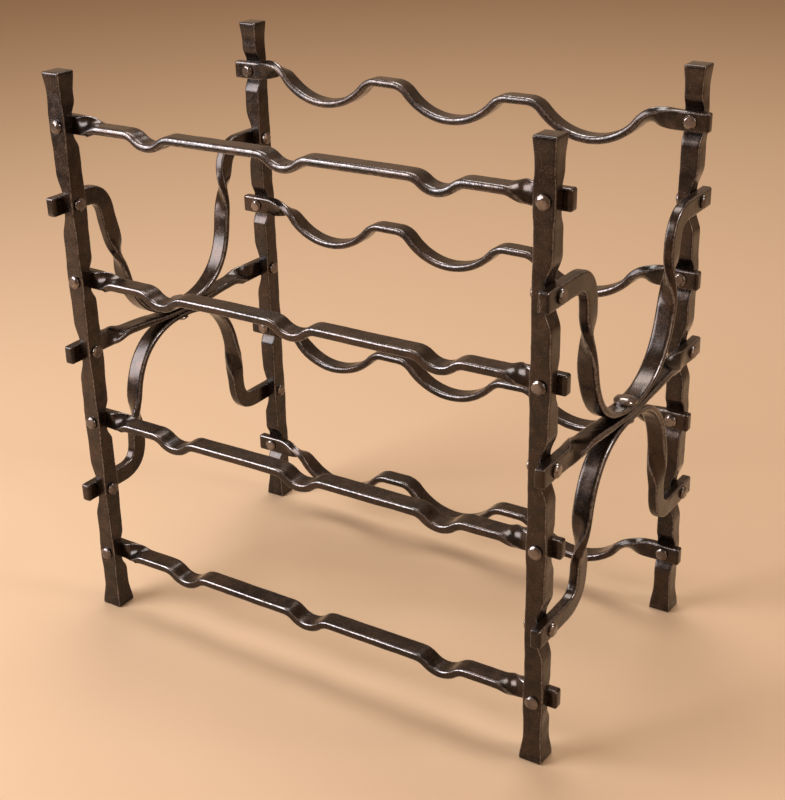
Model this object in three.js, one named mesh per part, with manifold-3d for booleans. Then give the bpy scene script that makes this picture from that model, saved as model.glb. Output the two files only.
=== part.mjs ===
// Forged wine rack: four square posts, four neck rails in front, four body rails behind, and on each
// side an upper bow, a cross bar and a lower bow. Every joint is a headed rivet through both bars.
// Millimetres, +Z up. The origin is on the floor at the centre of the footprint. -Y is the front.

import * as THREE from 'three';
import { mergeVertices } from 'three/addons/utils/BufferGeometryUtils.js';
import Module from 'manifold-3d';

const wasm = await Module();
wasm.setup();

// ---------------------------------------------------------------- driving dimensions

const HEIGHT = 400;
const POST_SPACING_X = 355;
const POST_SPACING_Y = 204;

const POST_SIDE = 12.7;
const POST_END_SIDE = 14;
const POST_END_FLARE = 22;
const SEAT_OFFSET = 2;
const SEAT_HALF = 7;
const SEAT_RAMP = 8;
const SEAT_SPREAD = 1.6;

const TAB_HEIGHT = 13;
const TAB_THICKNESS = 7;
const TAB_TIP = 0.84;
const TAB_TIP_LENGTH = 1.6;

const FRONT_RAIL_Z = [44.5, 151.5, 257.5, 364.5];
const REAR_RAIL_Z = [48.5, 155.5, 259, 364.5];
const RAIL_OVERHANG = 12.5;
const RAIL_WIDTH = 14.4;
const RAIL_THICKNESS = 5.6;
const RAIL_RISE_RUN = 20;
const RAIL_STATION_GAP = 2.5;
const TWIST_STEPS = 5;
const COLUMN_PITCH = 107;
const COLUMNS = [-1, 0, 1];
const DIP_SHARES = [-1, -0.86, -0.68, -0.4, 0, 0.4, 0.68, 0.86, 1];

// A rail's dips are arcs between crests. Its crests sit a little above or below its own tabs, and its
// rises give how much, at its left and its right post.
const NECK = {
  depth: 6.8,
  bottomRadius: 17,
  crestRadius: 13,
  rises: [[-1, -1], [-0.6, -0.2], [-0.8, 0.2], [-1, 1.4]],
  twistFrom: 169,
  twistTo: 149,
  sense: 1,
};
const BODY = {
  depth: 20.5,
  bottomRadius: 47,
  crestRadius: 15,
  rises: [[-2, -0.8], [-1.2, -1.2], [-0.4, -1], [3.2, 0.8]],
  twistFrom: 169,
  twistTo: 137,
  sense: -1,
};

const SIDE_Z = { lower: 97.5, middle: 205.5, upper: 311.5 };
const SIDE_OVERHANG = 15.5;
const CROSSING_Z = 202;
const CROSSING_THICKNESS = 3.8;
const LAYER_GAP = 0.1;
const PINCH = { from: 38, to: 12 };
const BOW_WIDTH = 13.6;
const BOW_THICKNESS = 5.2;

// The bow's line, as distances from the middle of the side and heights from its tab or the crossing.
const BOW_CORNER_DROP = 19;
const BOW_LEG_RISE = 55;
const PLAIN_LEG = { cornerFrom: 79, cornerPull: 61, cornerTo: 60, legTo: 58 };
const UPPER_LEGS = {
  left: {
    front: { cornerFrom: 84, cornerPull: 68, cornerTo: 67, legTo: 58 },
    rear: { cornerFrom: 82, cornerPull: 64.5, cornerTo: 63, legTo: 56.5 },
  },
  right: {
    front: PLAIN_LEG,
    rear: { cornerFrom: 81, cornerPull: 63, cornerTo: 62, legTo: 60 },
  },
};
const BOW_SWEEP = { firstPull: 54, firstRise: 20, secondPull: 34 };
const BOW_TWIST = { belowTab: 23, aboveCrossing: 47 };
const BOW_CORNER_SHARES = [0, 0.2, 0.4, 0.6, 0.8, 1];
const BOW_LEG_SHARES = [0.3, 0.55, 0.8, 1];
const BOW_SWEEP_SHARES = [0.08, 0.17, 0.3, 0.44, 0.58, 0.72, 0.86];
const CROSSING_FLAT = 8;

const CROSS_BAR_TWIST = { from: 88, to: 58 };
const CROSS_BAR_RISE_RUN = 60;
const CROSS_BAR_PLACES = [88, 82, 76, 70, 64, 58, 40, 22, 8, 0];

const SHANK_RADIUS = 2.9;
const HOLE_RADIUS = 3.25;
const RIVET_SIDES = 10;
const HEAD = { radius: 4.6, height: 3 };
const CENTRE_TOP_HEAD = { radius: 7.6, height: 4.2 };
const CENTRE_UNDER_HEAD = { radius: 6.2, height: 3 };
const HEAD_CROWN_SHARE = 0.52;
const HEAD_SHOULDER_SHARE = 0.45;

// ---------------------------------------------------------------- derived places

const POST_X = POST_SPACING_X / 2;
const POST_Y = POST_SPACING_Y / 2;
const POST_HALF = POST_SIDE / 2;
const TAB_CENTRE = SEAT_OFFSET + TAB_THICKNESS / 2;
const TAB_FACE = SEAT_OFFSET + TAB_THICKNESS;
const RAIL_Y = POST_Y - TAB_CENTRE;
const SIDE_X = POST_X + TAB_CENTRE;
const SIDES = [{ name: 'left', sign: -1 }, { name: 'right', sign: 1 }];
const ENDS = [{ name: 'front', sign: -1 }, { name: 'rear', sign: 1 }];

// ---------------------------------------------------------------- materials

const forgedSteel = new THREE.MeshStandardMaterial({ color: 0x2e2622, roughness: 0.46, metalness: 0.85 });
const rivetSteel = new THREE.MeshStandardMaterial({ color: 0x4a4039, roughness: 0.4, metalness: 0.9 });

// ---------------------------------------------------------------- solids

/** Turns a closed geometry into a manifold solid. */
function toSolid(geometry) {
  const bare = geometry.clone();
  bare.deleteAttribute('normal');
  bare.deleteAttribute('uv');
  const merged = mergeVertices(bare, 1e-5);
  const vertProperties = new Float32Array(merged.attributes.position.array);
  const triVerts = new Uint32Array(merged.index.array);
  return new wasm.Manifold(new wasm.Mesh({ numProp: 3, vertProperties, triVerts }));
}

/** Turns a manifold solid back into a geometry. */
function toGeometry(solid) {
  const mesh = solid.getMesh();
  const geometry = new THREE.BufferGeometry();
  geometry.setAttribute('position', new THREE.BufferAttribute(mesh.vertProperties, 3));
  geometry.setIndex(new THREE.BufferAttribute(mesh.triVerts, 1));
  geometry.computeVertexNormals();
  return geometry;
}

/** Joins rings of equally many corners into one closed body with flat ends. */
function loft(rings) {
  const corners = rings[0].length;
  const positions = rings.flat().flatMap((corner) => [corner.x, corner.y, corner.z]);
  const indices = [];
  for (let ring = 0; ring + 1 < rings.length; ring += 1) {
    for (let corner = 0; corner < corners; corner += 1) {
      const next = (corner + 1) % corners;
      const a = ring * corners + corner;
      const b = ring * corners + next;
      const c = a + corners;
      const d = b + corners;
      indices.push(a, b, d, a, d, c);
    }
  }
  const last = (rings.length - 1) * corners;
  for (let corner = 1; corner + 1 < corners; corner += 1) {
    indices.push(0, corner + 1, corner);
    indices.push(last, last + corner, last + corner + 1);
  }
  const geometry = new THREE.BufferGeometry();
  geometry.setAttribute('position', new THREE.BufferAttribute(new Float32Array(positions), 3));
  geometry.setIndex(indices);
  return facingOut(geometry);
}

/** Turns every triangle over when the closed body's signed volume is negative. */
function facingOut(geometry) {
  const points = geometry.attributes.position;
  const index = geometry.index.array;
  const [a, b, c] = [new THREE.Vector3(), new THREE.Vector3(), new THREE.Vector3()];
  let volume = 0;
  for (let i = 0; i < index.length; i += 3) {
    a.fromBufferAttribute(points, index[i]);
    b.fromBufferAttribute(points, index[i + 1]);
    c.fromBufferAttribute(points, index[i + 2]);
    volume += a.dot(b.cross(c));
  }
  if (volume < 0) {
    for (let i = 0; i < index.length; i += 3) {
      [index[i], index[i + 1]] = [index[i + 1], index[i]];
    }
  }
  return geometry;
}

/** Cuts round rivet holes along one axis: 'x', 'y' or 'z'. */
function drill(geometry, holes) {
  let solid = toSolid(geometry);
  for (const { centre, axis, length } of holes) {
    const tool = new THREE.CylinderGeometry(HOLE_RADIUS, HOLE_RADIUS, length, RIVET_SIDES);
    turnTo(tool, axis);
    tool.translate(centre.x, centre.y, centre.z);
    solid = solid.subtract(toSolid(tool));
  }
  return toGeometry(solid);
}

/** Turns a shape made along Y so that it lies along the given axis. */
function turnTo(geometry, axis) {
  if (axis === 'x') geometry.rotateZ(-Math.PI / 2);
  if (axis === 'z') geometry.rotateX(Math.PI / 2);
}

const smooth = (value) => THREE.MathUtils.smoothstep(value, 0, 1);

// ---------------------------------------------------------------- posts

/**
 * A square post with a hammered-in seat wherever a bar lies against it. A rail's seat faces into the
 * rack along Y, a side bar's seat faces out along X, and the steel spreads sideways at each seat.
 */
function post(side, end) {
  const railHeights = end.name === 'front' ? FRONT_RAIL_Z : REAR_RAIL_Z;
  const railSeats = railHeights.map((z) => ({ z, axis: 'y', facing: -end.sign }));
  const sideSeats = Object.values(SIDE_Z).map((z) => ({ z, axis: 'x', facing: side.sign }));
  const seats = [...railSeats, ...sideSeats].sort((a, b) => a.z - b.z);
  const rings = [];
  const addRing = (z, half, seat, share) => {
    const low = { x: -half, y: -half };
    const high = { x: half, y: half };
    if (seat) {
      const across = seat.axis === 'x' ? 'y' : 'x';
      low[across] -= SEAT_SPREAD * share;
      high[across] += SEAT_SPREAD * share;
      const edge = seat.facing > 0 ? high : low;
      edge[seat.axis] += (seat.facing * SEAT_OFFSET - edge[seat.axis]) * share;
    }
    rings.push([
      new THREE.Vector3(low.x, low.y, z),
      new THREE.Vector3(high.x, low.y, z),
      new THREE.Vector3(high.x, high.y, z),
      new THREE.Vector3(low.x, high.y, z),
    ]);
  };
  addRing(0, POST_END_SIDE / 2);
  addRing(POST_END_FLARE, POST_HALF);
  for (const seat of seats) {
    addRing(seat.z - SEAT_HALF - SEAT_RAMP, POST_HALF, seat, 0);
    addRing(seat.z - SEAT_HALF, POST_HALF, seat, 1);
    addRing(seat.z + SEAT_HALF, POST_HALF, seat, 1);
    addRing(seat.z + SEAT_HALF + SEAT_RAMP, POST_HALF, seat, 0);
  }
  addRing(HEIGHT - POST_END_FLARE / 2, POST_HALF);
  addRing(HEIGHT, POST_END_SIDE / 2);
  const holes = seats.map(({ z, axis }) => (
    { centre: new THREE.Vector3(0, 0, z), axis, length: 2 * POST_SIDE }
  ));
  const mesh = new THREE.Mesh(drill(loft(rings), holes), forgedSteel);
  mesh.name = `post_${end.name}_${side.name}`;
  mesh.position.set(side.sign * POST_X, end.sign * POST_Y, 0);
  return mesh;
}

// ---------------------------------------------------------------- flat bars bent in one plane

/**
 * Lofts a flat bar along a line that lies in one upright plane. Each station has its place along the
 * plane and its height, the bar's width and thickness there, and a turn: 0 stands the width in the
 * plane, 1 lays it square to the plane.
 */
function flatBar(stations, toSpace) {
  const rings = stations.map((station, i) => {
    const before = stations[Math.max(i - 1, 0)];
    const after = stations[Math.min(i + 1, stations.length - 1)];
    const along = new THREE.Vector2(after.h - before.h, after.z - before.z).normalize();
    const normal = new THREE.Vector2(-along.y, along.x);
    const angle = (station.turn * Math.PI) / 2;
    const wide = { in: Math.cos(angle), out: Math.sin(angle) };
    const thin = { in: -Math.sin(angle), out: Math.cos(angle) };
    const corner = (w, t) => {
      const inPlane = (w * wide.in * station.width + t * thin.in * station.thickness) / 2;
      const outOfPlane = (w * wide.out * station.width + t * thin.out * station.thickness) / 2;
      return toSpace(station.h + normal.x * inPlane, outOfPlane, station.z + normal.y * inPlane);
    };
    return [corner(-1, -1), corner(1, -1), corner(1, 1), corner(-1, 1)];
  });
  return loft(rings);
}

/** The two stations of a tab's hammered tip, from the tip inwards. */
function tabTip(reach, z) {
  const tip = { width: TAB_HEIGHT * TAB_TIP, thickness: TAB_THICKNESS * TAB_TIP, turn: 0 };
  const full = { width: TAB_HEIGHT, thickness: TAB_THICKNESS, turn: 0 };
  return [{ h: -reach, z, ...tip }, { h: TAB_TIP_LENGTH - reach, z, ...full }];
}

/** Joins the stations of two half bars, which both run from a tip to the centre, into a whole bar. */
function joined(front, rear) {
  const other = rear.slice(0, -1).reverse();
  return [...front, ...other.map((station) => ({ ...station, h: -station.h }))];
}

// ---------------------------------------------------------------- rails

/** The angle that a dip's arcs turn through, and half the dip's span from crest to crest. */
function dipSpan({ depth, bottomRadius, crestRadius }) {
  const bend = Math.acos(1 - depth / (bottomRadius + crestRadius));
  return { bend, halfSpan: (bottomRadius + crestRadius) * Math.sin(bend) };
}

/** How far a rail dips at a distance from a column's centre: a bottom arc that meets two crest arcs. */
function dip(distance, form) {
  const { depth, bottomRadius, crestRadius } = form;
  const { bend, halfSpan } = dipSpan(form);
  const gap = Math.abs(distance);
  if (gap >= halfSpan) return 0;
  if (gap <= bottomRadius * Math.sin(bend)) {
    return depth - bottomRadius + Math.sqrt(bottomRadius ** 2 - gap ** 2);
  }
  return crestRadius - Math.sqrt(crestRadius ** 2 - (halfSpan - gap) ** 2);
}

/** Stations of a rail from its left tip to its right tip, at a tab height. */
function railStations(tabZ, form, rise) {
  const lineZ = (h) => {
    const share = (POST_X + h) / POST_SPACING_X;
    const worked = smooth((POST_X - POST_HALF - Math.abs(h)) / RAIL_RISE_RUN);
    const lift = worked * THREE.MathUtils.lerp(rise[0], rise[1], share);
    const drops = COLUMNS.map((column) => dip(h - column * COLUMN_PITCH, form));
    return tabZ + lift - Math.max(...drops);
  };
  const { halfSpan } = dipSpan(form);
  const places = COLUMNS.flatMap((column) => (
    DIP_SHARES.map((share) => column * COLUMN_PITCH + share * halfSpan)
  ));
  for (let step = 0; step <= TWIST_STEPS; step += 1) {
    const h = THREE.MathUtils.lerp(form.twistFrom, form.twistTo, step / TWIST_STEPS);
    places.push(h, -h);
  }
  places.sort((a, b) => a - b);
  const spaced = places.filter((h, i) => i === 0 || h - places[i - 1] > RAIL_STATION_GAP);
  const worked = spaced.map((h) => {
    const share = smooth((form.twistFrom - Math.abs(h)) / (form.twistFrom - form.twistTo));
    const width = THREE.MathUtils.lerp(TAB_HEIGHT, RAIL_WIDTH, share);
    const thickness = THREE.MathUtils.lerp(TAB_THICKNESS, RAIL_THICKNESS, share);
    return { h, z: lineZ(h), width, thickness, turn: form.sense * share };
  });
  const leftTip = tabTip(POST_X + RAIL_OVERHANG, tabZ);
  const rightTip = leftTip.map((tip) => ({ ...tip, h: -tip.h })).reverse();
  return [...leftTip, ...worked, ...rightTip];
}

/** One rail, riveted through both of its tabs. */
function rail(end, level) {
  const form = end.name === 'front' ? NECK : BODY;
  const tabZ = (end.name === 'front' ? FRONT_RAIL_Z : REAR_RAIL_Z)[level];
  const stations = railStations(tabZ, form, form.rises[level]);
  const bar = flatBar(stations, (h, out, z) => new THREE.Vector3(h, out, z));
  const holes = SIDES.map(({ sign }) => (
    { centre: new THREE.Vector3(sign * POST_X, 0, tabZ), axis: 'y', length: 2 * POST_SIDE }
  ));
  const mesh = new THREE.Mesh(drill(bar, holes), forgedSteel);
  mesh.name = `${end.name === 'front' ? 'neck' : 'body'}_rail_${level + 1}`;
  mesh.position.y = end.sign * RAIL_Y;
  return mesh;
}

// ---------------------------------------------------------------- side bars

/** One leg of a bow from its tab to the crossing, as distances from centre and from the crossing. */
function bowStations(tabRise, layerRise, shape) {
  const hook = new THREE.CurvePath();
  const v2 = (h, rise) => new THREE.Vector2(-h, rise);
  const cornerStart = v2(shape.cornerFrom, tabRise);
  const cornerEnd = v2(shape.cornerTo, tabRise - BOW_CORNER_DROP);
  hook.add(new THREE.QuadraticBezierCurve(cornerStart, v2(shape.cornerPull, tabRise), cornerEnd));
  const legEnd = v2(shape.legTo, BOW_LEG_RISE);
  hook.add(new THREE.LineCurve(cornerEnd, legEnd));
  const firstPull = v2(BOW_SWEEP.firstPull, BOW_SWEEP.firstRise);
  const secondPull = v2(BOW_SWEEP.secondPull, layerRise);
  const crossing = v2(0, layerRise);
  hook.add(new THREE.CubicBezierCurve(legEnd, firstPull, secondPull, crossing));
  const twist = { from: tabRise - BOW_TWIST.belowTab, to: BOW_TWIST.aboveCrossing };
  const corner = BOW_CORNER_SHARES.map((share) => hook.curves[0].getPoint(share));
  const leg = BOW_LEG_SHARES.map((share) => hook.curves[1].getPoint(share));
  const sweep = BOW_SWEEP_SHARES.map((share) => hook.curves[2].getPoint(share));
  const points = [...corner, ...leg, ...sweep, v2(CROSSING_FLAT, layerRise), crossing];
  return points.map((point, i) => {
    const turn = i < corner.length ? 0 : smooth((twist.from - point.y) / (twist.from - twist.to));
    const pinch = smooth((PINCH.from + point.x) / (PINCH.from - PINCH.to));
    const width = THREE.MathUtils.lerp(TAB_HEIGHT, BOW_WIDTH, turn);
    const worked = THREE.MathUtils.lerp(TAB_THICKNESS, BOW_THICKNESS, turn);
    const thickness = THREE.MathUtils.lerp(worked, CROSSING_THICKNESS, pinch);
    return { h: point.x, z: point.y, width, thickness, turn: -turn };
  });
}

/** A bow: out from the front post, down to the crossing and back up to the rear post, or its mirror. */
function bow(side, upper) {
  const facing = upper ? 1 : -1;
  const tabZ = upper ? SIDE_Z.upper : SIDE_Z.lower;
  const tabRise = facing * (tabZ - CROSSING_Z);
  const legs = upper ? UPPER_LEGS[side.name] : { front: PLAIN_LEG, rear: PLAIN_LEG };
  const [front, rear] = [legs.front, legs.rear].map((shape) => [
    ...tabTip(POST_Y + SIDE_OVERHANG, tabRise),
    ...bowStations(tabRise, CROSSING_THICKNESS + LAYER_GAP, shape),
  ]);
  const whole = joined(front, rear);
  const bar = flatBar(upper ? whole.map(turnedOn) : whole, (h, out, z) => (
    new THREE.Vector3(out, h, CROSSING_Z + facing * z)
  ));
  return sideBar(bar, side, upper ? 'upper_bow' : 'lower_bow', tabZ);
}

/** Lets a bar's second half go on turning the same way, so that its two twists have one hand. */
function turnedOn(station) {
  return station.h > 0 ? { ...station, turn: -2 - station.turn } : station;
}

/** The straight bar through the crossing, twisted flat between its two tabs. */
function crossBar(side) {
  const rise = SIDE_Z.middle - CROSSING_Z;
  const worked = CROSS_BAR_PLACES.map((distance) => {
    const { from, to } = CROSS_BAR_TWIST;
    const turn = smooth((from - distance) / (from - to));
    const pinch = smooth((PINCH.from - distance) / (PINCH.from - PINCH.to));
    const flat = THREE.MathUtils.lerp(TAB_THICKNESS, BOW_THICKNESS, turn);
    const thickness = THREE.MathUtils.lerp(flat, CROSSING_THICKNESS, pinch);
    const width = THREE.MathUtils.lerp(TAB_HEIGHT, BOW_WIDTH, turn);
    const z = rise * smooth((distance - CROSSING_FLAT) / CROSS_BAR_RISE_RUN);
    return { h: -distance, z, width, thickness, turn: -turn };
  });
  const half = [...tabTip(POST_Y + SIDE_OVERHANG, rise), ...worked];
  const bar = flatBar(joined(half, half), (h, out, z) => new THREE.Vector3(out, h, CROSSING_Z + z));
  return sideBar(bar, side, 'cross_bar', SIDE_Z.middle);
}

/** Drills a side bar at both posts and at the crossing, and places it on its side of the rack. */
function sideBar(bar, side, kind, tabZ) {
  const holes = ENDS.map(({ sign }) => (
    { centre: new THREE.Vector3(0, sign * POST_Y, tabZ), axis: 'x', length: 2 * POST_SIDE }
  ));
  holes.push({ centre: new THREE.Vector3(0, 0, CROSSING_Z), axis: 'z', length: 3 * POST_SIDE });
  const mesh = new THREE.Mesh(drill(bar, holes), forgedSteel);
  mesh.name = `${side.name}_${kind}`;
  mesh.position.x = side.sign * SIDE_X;
  return mesh;
}

// ---------------------------------------------------------------- rivets

/** A rivet along an axis with a faceted head at both ends of its grip. */
function rivet(name, from, to, axis, lowHead = HEAD, highHead = HEAD) {
  const grip = to[axis] - from[axis];
  const headProfile = ({ radius, height }) => [
    new THREE.Vector2(SHANK_RADIUS, grip / 2),
    new THREE.Vector2(radius, grip / 2),
    new THREE.Vector2(radius, grip / 2 + height * HEAD_SHOULDER_SHARE),
    new THREE.Vector2(radius * HEAD_CROWN_SHARE, grip / 2 + height),
    new THREE.Vector2(0, grip / 2 + height),
  ];
  const low = headProfile(lowHead).map(({ x, y }) => new THREE.Vector2(x, -y));
  const points = [...low.reverse(), ...headProfile(highHead)];
  const geometry = new THREE.LatheGeometry(points, RIVET_SIDES);
  turnTo(geometry, axis);
  const mesh = new THREE.Mesh(toGeometry(toSolid(geometry)), rivetSteel);
  mesh.name = name;
  mesh.position.copy(from).add(to).multiplyScalar(0.5);
  return mesh;
}

/** The rivet that holds one rail's tab to one post. */
function railRivet(end, side, level) {
  const z = (end.name === 'front' ? FRONT_RAIL_Z : REAR_RAIL_Z)[level];
  const x = side.sign * POST_X;
  const faces = [end.sign * (POST_Y + POST_HALF), end.sign * (POST_Y - TAB_FACE)].sort((a, b) => a - b);
  const [from, to] = faces.map((y) => new THREE.Vector3(x, y, z));
  const name = `rivet_${end.name === 'front' ? 'neck' : 'body'}_rail_${level + 1}_${side.name}`;
  return rivet(name, from, to, 'y');
}

/** The rivet that holds one side bar's tab to one post. */
function sideRivet(side, end, level) {
  const y = end.sign * POST_Y;
  const faces = [side.sign * (POST_X - POST_HALF), side.sign * (POST_X + TAB_FACE)].sort((a, b) => a - b);
  const [from, to] = faces.map((x) => new THREE.Vector3(x, y, SIDE_Z[level]));
  return rivet(`rivet_${side.name}_${level}_${end.name}`, from, to, 'x');
}

/** The large rivet through the three stacked bars at the middle of a side. */
function centreRivet(side) {
  const half = 1.5 * CROSSING_THICKNESS + LAYER_GAP;
  const from = new THREE.Vector3(side.sign * SIDE_X, 0, CROSSING_Z - half);
  const to = new THREE.Vector3(side.sign * SIDE_X, 0, CROSSING_Z + half);
  return rivet(`centre_rivet_${side.name}`, from, to, 'z', CENTRE_UNDER_HEAD, CENTRE_TOP_HEAD);
}

// ---------------------------------------------------------------- assembly

const rack = new THREE.Group();
for (const side of SIDES) {
  for (const end of ENDS) {
    rack.add(post(side, end));
  }
  rack.add(bow(side, true), crossBar(side), bow(side, false), centreRivet(side));
  for (const end of ENDS) {
    for (const level of Object.keys(SIDE_Z)) {
      rack.add(sideRivet(side, end, level));
    }
  }
}
for (const end of ENDS) {
  for (const level of FRONT_RAIL_Z.keys()) {
    rack.add(rail(end, level));
    for (const side of SIDES) {
      rack.add(railRivet(end, side, level));
    }
  }
}

export default rack;
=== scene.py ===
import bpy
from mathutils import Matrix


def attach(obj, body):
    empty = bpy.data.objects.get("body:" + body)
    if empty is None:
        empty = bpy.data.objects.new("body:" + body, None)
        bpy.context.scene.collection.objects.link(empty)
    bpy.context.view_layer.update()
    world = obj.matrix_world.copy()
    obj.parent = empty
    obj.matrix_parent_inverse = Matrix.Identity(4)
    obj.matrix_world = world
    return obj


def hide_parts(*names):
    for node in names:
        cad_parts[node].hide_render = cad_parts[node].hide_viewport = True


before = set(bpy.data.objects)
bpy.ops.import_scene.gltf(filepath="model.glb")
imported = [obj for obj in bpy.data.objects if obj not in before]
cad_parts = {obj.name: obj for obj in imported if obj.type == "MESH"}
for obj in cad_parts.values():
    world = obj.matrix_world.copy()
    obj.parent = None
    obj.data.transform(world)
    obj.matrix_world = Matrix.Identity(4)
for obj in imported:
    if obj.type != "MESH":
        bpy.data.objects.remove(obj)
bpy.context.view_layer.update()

import logging
import math
from dataclasses import dataclass, field
from enum import Enum
from typing import Callable, Union

import bpy
import numpy as np
from mathutils import Matrix, Vector, noise

# A hand-forged steel wine rack. Sizes are in millimetres until a mesh is made, and angles are in degrees.
# The rack stands on the floor round the origin, with -Y as its front, where the bottles' necks lie.

log = logging.getLogger("wine_rack")
MM = 0.001
FORGED = "_forged"

# A bar's line is drawn in short steps, its tips round over in a few rings, and no edge is quite sharp.
LINE_STEP = 0.5
TIP_STEPS = 6
LEAST_RADIUS = 0.15

Colour = tuple[float, float, float]
Span = tuple[float, float]
Value = Union[float, np.ndarray]


def smooth(value: Value) -> Value:
    """Eases a share from 0 to 1, and holds it at 0 below and at 1 above."""
    share = np.clip(value, 0.0, 1.0)
    return share * share * (3.0 - 2.0 * share)


def blend(low: Value, high: Value, share: Value) -> Value:
    """Gives the value that lies at a share of the way from low to high."""
    return low + (high - low) * share


def evenly(reach: float) -> np.ndarray:
    """Spaces points evenly from one end of a bar to the other, with its middle at 0."""
    return np.linspace(-reach, reach, round(2.0 * reach / LINE_STEP) + 1)


def direction(azimuth: float, elevation: float) -> Vector:
    """Points from the rack towards an azimuth from its front and an elevation, both in radians."""
    level = math.cos(elevation)
    return Vector((math.sin(azimuth) * level, -math.cos(azimuth) * level, math.sin(elevation)))


# ---------------------------------------------------------------- shader maths


class Wire:
    """One value, colour or vector socket in a node tree, which takes part in Python expressions."""

    def __init__(self, shop: "NodeShop", socket: bpy.types.NodeSocket) -> None:
        """Keeps the tree's shop and the socket."""
        self.shop = shop
        self.socket = socket

    def _with(self, operation: str, left: "Part", right: "Part") -> "Wire":
        """Adds one Math node.

        Args:
            operation: the Math node's operation.
            left: the first operand.
            right: the second operand.

        Returns:
            The node's result.
        """
        return self.shop.add("ShaderNodeMath", {"operation": operation}, {0: left, 1: right})

    def __add__(self, other: "Part") -> "Wire":
        """Adds."""
        return self._with("ADD", self, other)

    def __radd__(self, other: "Part") -> "Wire":
        """Adds, from the right."""
        return self._with("ADD", other, self)

    def __sub__(self, other: "Part") -> "Wire":
        """Subtracts."""
        return self._with("SUBTRACT", self, other)

    def __rsub__(self, other: "Part") -> "Wire":
        """Subtracts, from the right."""
        return self._with("SUBTRACT", other, self)

    def __mul__(self, other: "Part") -> "Wire":
        """Multiplies."""
        return self._with("MULTIPLY", self, other)

    def __rmul__(self, other: "Part") -> "Wire":
        """Multiplies, from the right."""
        return self._with("MULTIPLY", other, self)


Part = Union[Wire, float, tuple]


@dataclass(frozen=True)
class Grain:
    """A soft noise: how many grains it has to the millimetre, how many layers, and how rough they are."""

    per_mm: float
    layers: float
    roughness: float


class NodeShop:
    """Makes the nodes of one material."""

    MIX_COLOURS = (6, 7)
    MIX_RESULT = 2

    def __init__(self, name: str) -> None:
        """Starts an empty material.

        Args:
            name: the material's name.
        """
        self.material = bpy.data.materials.new(name)
        self.material.use_nodes = True
        self.tree = self.material.node_tree
        self.tree.nodes.clear()

    def node(self, kind: str, settings: dict[str, object], inputs: dict[object, Part]) -> bpy.types.Node:
        """Makes one node.

        Args:
            kind: the node's type name.
            settings: the node's own settings, which are set first.
            inputs: values or wires for its sockets, by name or number.

        Returns:
            The node.
        """
        node = self.tree.nodes.new(kind)
        for key, value in settings.items():
            setattr(node, key, value)
        for key, value in inputs.items():
            if isinstance(value, Wire):
                self.tree.links.new(value.socket, node.inputs[key])
            else:
                node.inputs[key].default_value = value
        return node

    def add(
        self, kind: str, settings: dict[str, object], inputs: dict[object, Part], out: object = 0
    ) -> Wire:
        """Makes one node whose result goes on to other nodes.

        Args:
            kind: the node's type name.
            settings: the node's own settings.
            inputs: values or wires for its sockets, by name or number.
            out: the output socket wanted, by name or number.

        Returns:
            The wire from that output.
        """
        return Wire(self, self.node(kind, settings, inputs).outputs[out])

    def ramp(self, value: Wire, span: Span) -> Wire:
        """Stretches a value so that the span's low end becomes 0 and its high end 1, eased at both."""
        settings = {"interpolation_type": "SMOOTHSTEP"}
        return self.add("ShaderNodeMapRange", settings, {0: value, 1: span[0], 2: span[1], 3: 0.0, 4: 1.0})

    def mix(self, share: Part, low: Part, high: Part) -> Wire:
        """Mixes two colours.

        Args:
            share: how much of the second colour shows.
            low: the first colour.
            high: the second colour.

        Returns:
            The mixed colour.
        """
        inputs = {0: share}
        for socket, colour in zip(self.MIX_COLOURS, (low, high)):
            inputs[socket] = (*colour, 1.0) if isinstance(colour, tuple) else colour
        return self.add("ShaderNodeMix", {"data_type": "RGBA"}, inputs, out=self.MIX_RESULT)

    def soft_noise(self, place: Wire, grain: Grain) -> Wire:
        """Adds a soft noise."""
        sockets = {
            "Vector": place, "Scale": grain.per_mm / MM, "Detail": grain.layers, "Roughness": grain.roughness,
        }
        return self.add("ShaderNodeTexNoise", {}, sockets)

    def finish(self, sockets: dict[str, Part]) -> bpy.types.Material:
        """Adds the surface shader and the output.

        Args:
            sockets: what goes into the Principled shader, by socket name.

        Returns:
            The finished material.
        """
        surface = self.add("ShaderNodeBsdfPrincipled", {}, sockets)
        self.node("ShaderNodeOutputMaterial", {}, {"Surface": surface})
        return self.material


# ---------------------------------------------------------------- finishes


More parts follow.
